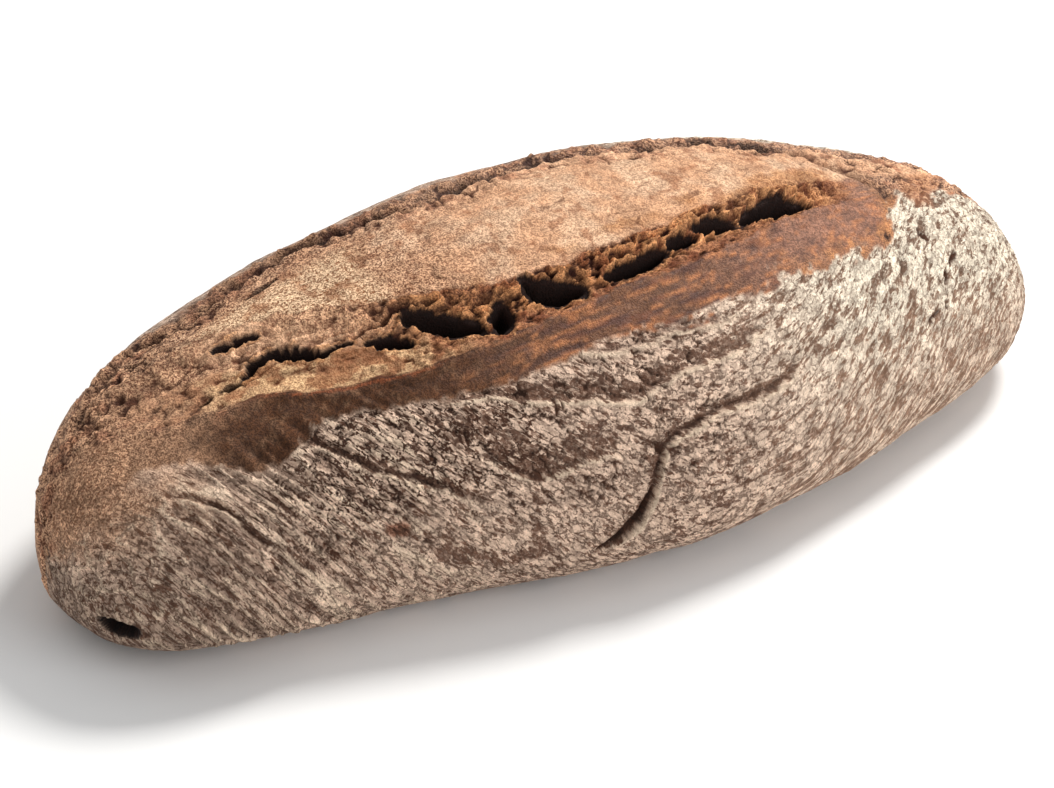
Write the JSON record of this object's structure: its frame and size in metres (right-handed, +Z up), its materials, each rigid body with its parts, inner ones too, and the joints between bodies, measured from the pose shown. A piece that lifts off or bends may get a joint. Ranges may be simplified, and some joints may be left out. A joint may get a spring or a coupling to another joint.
{
  "type": "rye bread loaf",
  "caption": "Whole long rye bread loaf with a floury crackled crust, a torn burst with crumb holes along its top and a flat underside.",
  "frame": {"origin": "middle of the loaf's footprint, on its flat underside", "axes": "+X along the loaf towards its thickly floured end, +Z up, -Y towards the floury side below the burst"},
  "size_m": [0.3192, 0.1404, 0.0911],
  "materials": {
    "crust": "dry matt baked rye crust, brown, with white flour on the sides and torn dark crumb along the top"
  },
  "bodies": {
    "root": {"loaf": "crust"}
  },
  "joints": []
}
